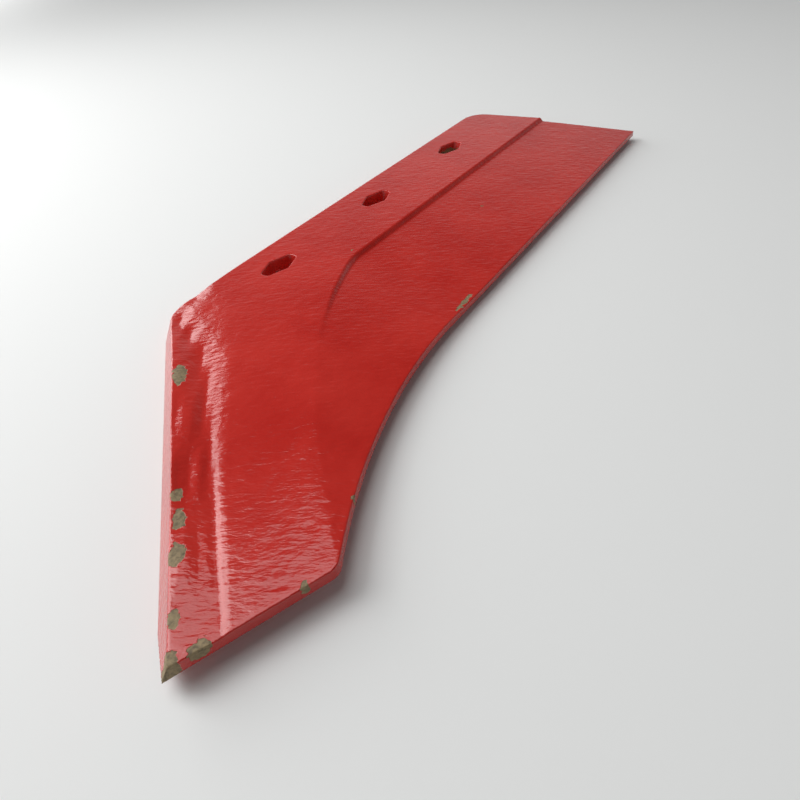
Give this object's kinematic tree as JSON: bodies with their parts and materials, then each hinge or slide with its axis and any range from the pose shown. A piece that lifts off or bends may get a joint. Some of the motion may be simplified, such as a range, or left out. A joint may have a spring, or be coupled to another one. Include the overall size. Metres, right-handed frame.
{
  "type": "plough share",
  "caption": "Forged beaked plough share with a raised bolt band, a stepped blade and a ridged landside nose; bolts to a plough body to cut the furrow slice loose.",
  "frame": {"origin": "centre of the middle bolt hole, on the flat back", "axes": "+X along the row of bolt holes towards the wing, +Y towards the mouldboard joint, +Z out of the worked face, which is up as the share lies on its back"},
  "size_m": [0.49, 0.1874, 0.0158],
  "materials": {
    "paint": "gloss"
  },
  "bodies": {
    "root": {"share": "paint"}
  },
  "joints": []
}
